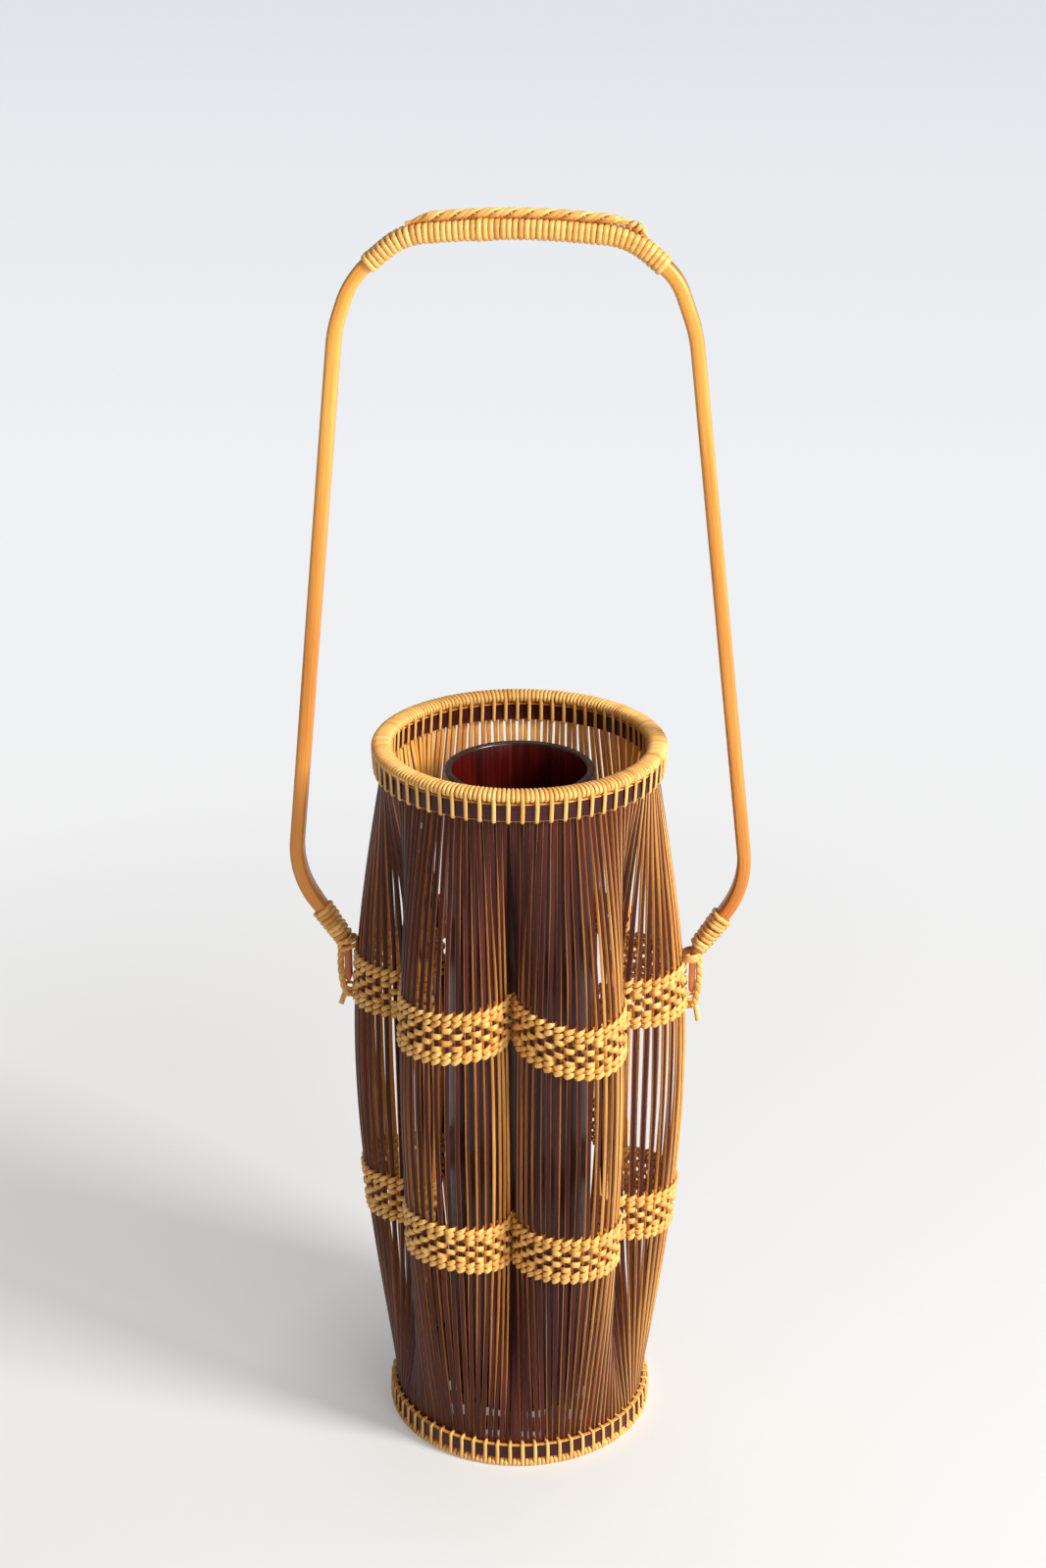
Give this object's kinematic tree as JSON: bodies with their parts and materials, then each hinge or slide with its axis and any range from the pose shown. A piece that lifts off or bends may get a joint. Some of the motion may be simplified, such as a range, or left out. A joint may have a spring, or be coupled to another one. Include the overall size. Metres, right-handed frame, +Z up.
{
  "type": "bamboo flower basket",
  "caption": "Tall six-lobed flower basket of split bamboo with woven bands, wrapped rim and foot, a high arched handle and a lift-out water tube.",
  "frame": {"origin": "centre of the foot, on the ground", "axes": "+Z up along the basket, +X and -X towards the two ends of the handle, -Y the side seen in front"},
  "size_m": [0.2058, 0.141, 0.5709],
  "materials": {
    "dark_bamboo": "stained bamboo skin with a slight gloss",
    "rattan": "split rattan, satin",
    "slat_bamboo": "split bamboo, matt",
    "handle_bamboo": "stained bamboo, satin",
    "lacquered_tube": "dark lacquer outside, red inside"
  },
  "bodies": {
    "basket": {"wall_strips_lobe_1": "dark_bamboo", "wall_strips_lobe_2": "dark_bamboo", "wall_strips_lobe_3": "dark_bamboo", "wall_strips_lobe_4": "dark_bamboo", "wall_strips_lobe_5": "dark_bamboo", "wall_strips_lobe_6": "dark_bamboo", "rim_outer_hoop": "dark_bamboo", "rim_inner_hoop": "dark_bamboo", "foot_outer_hoop": "dark_bamboo", "foot_inner_hoop": "dark_bamboo", "rim_core": "rattan", "rim_long_wraps": "rattan", "rim_short_wraps": "rattan", "foot_core": "rattan", "foot_long_wraps": "rattan", "foot_short_wraps": "rattan", "grip_wrap": "rattan", "grip_braid": "rattan", "grip_braid_knot": "rattan", "handle_lashing_left": "rattan", "handle_lashing_right": "rattan", "handle_tie_cord_left": "rattan", "handle_tie_cord_right": "rattan", "handle_cross_strands_left": "rattan", "handle_cross_strands_right": "rattan", "upper_band_row_1": "rattan", "upper_band_row_2": "rattan", "upper_band_row_3": "rattan", "upper_band_row_4": "rattan", "upper_band_row_5": "rattan", "upper_band_row_6": "rattan", "upper_band_row_7": "rattan", "upper_band_row_8": "rattan", "lower_band_row_1": "rattan", "lower_band_row_2": "rattan", "lower_band_row_3": "rattan", "lower_band_row_4": "rattan", "lower_band_row_5": "rattan", "lower_band_row_6": "rattan", "lower_band_row_7": "rattan", "lower_band_row_8": "rattan", "floor_slats_lower": "slat_bamboo", "floor_slats_upper": "slat_bamboo", "handle_bow": "handle_bamboo"},
    "tube": {"water_tube": "lacquered_tube"}
  },
  "joints": [
    {"name": "tube_lift", "type": "slide", "parent": "basket", "child": "tube", "axis": [0, 0, 1], "range_m": [0, 0.225]}
  ]
}
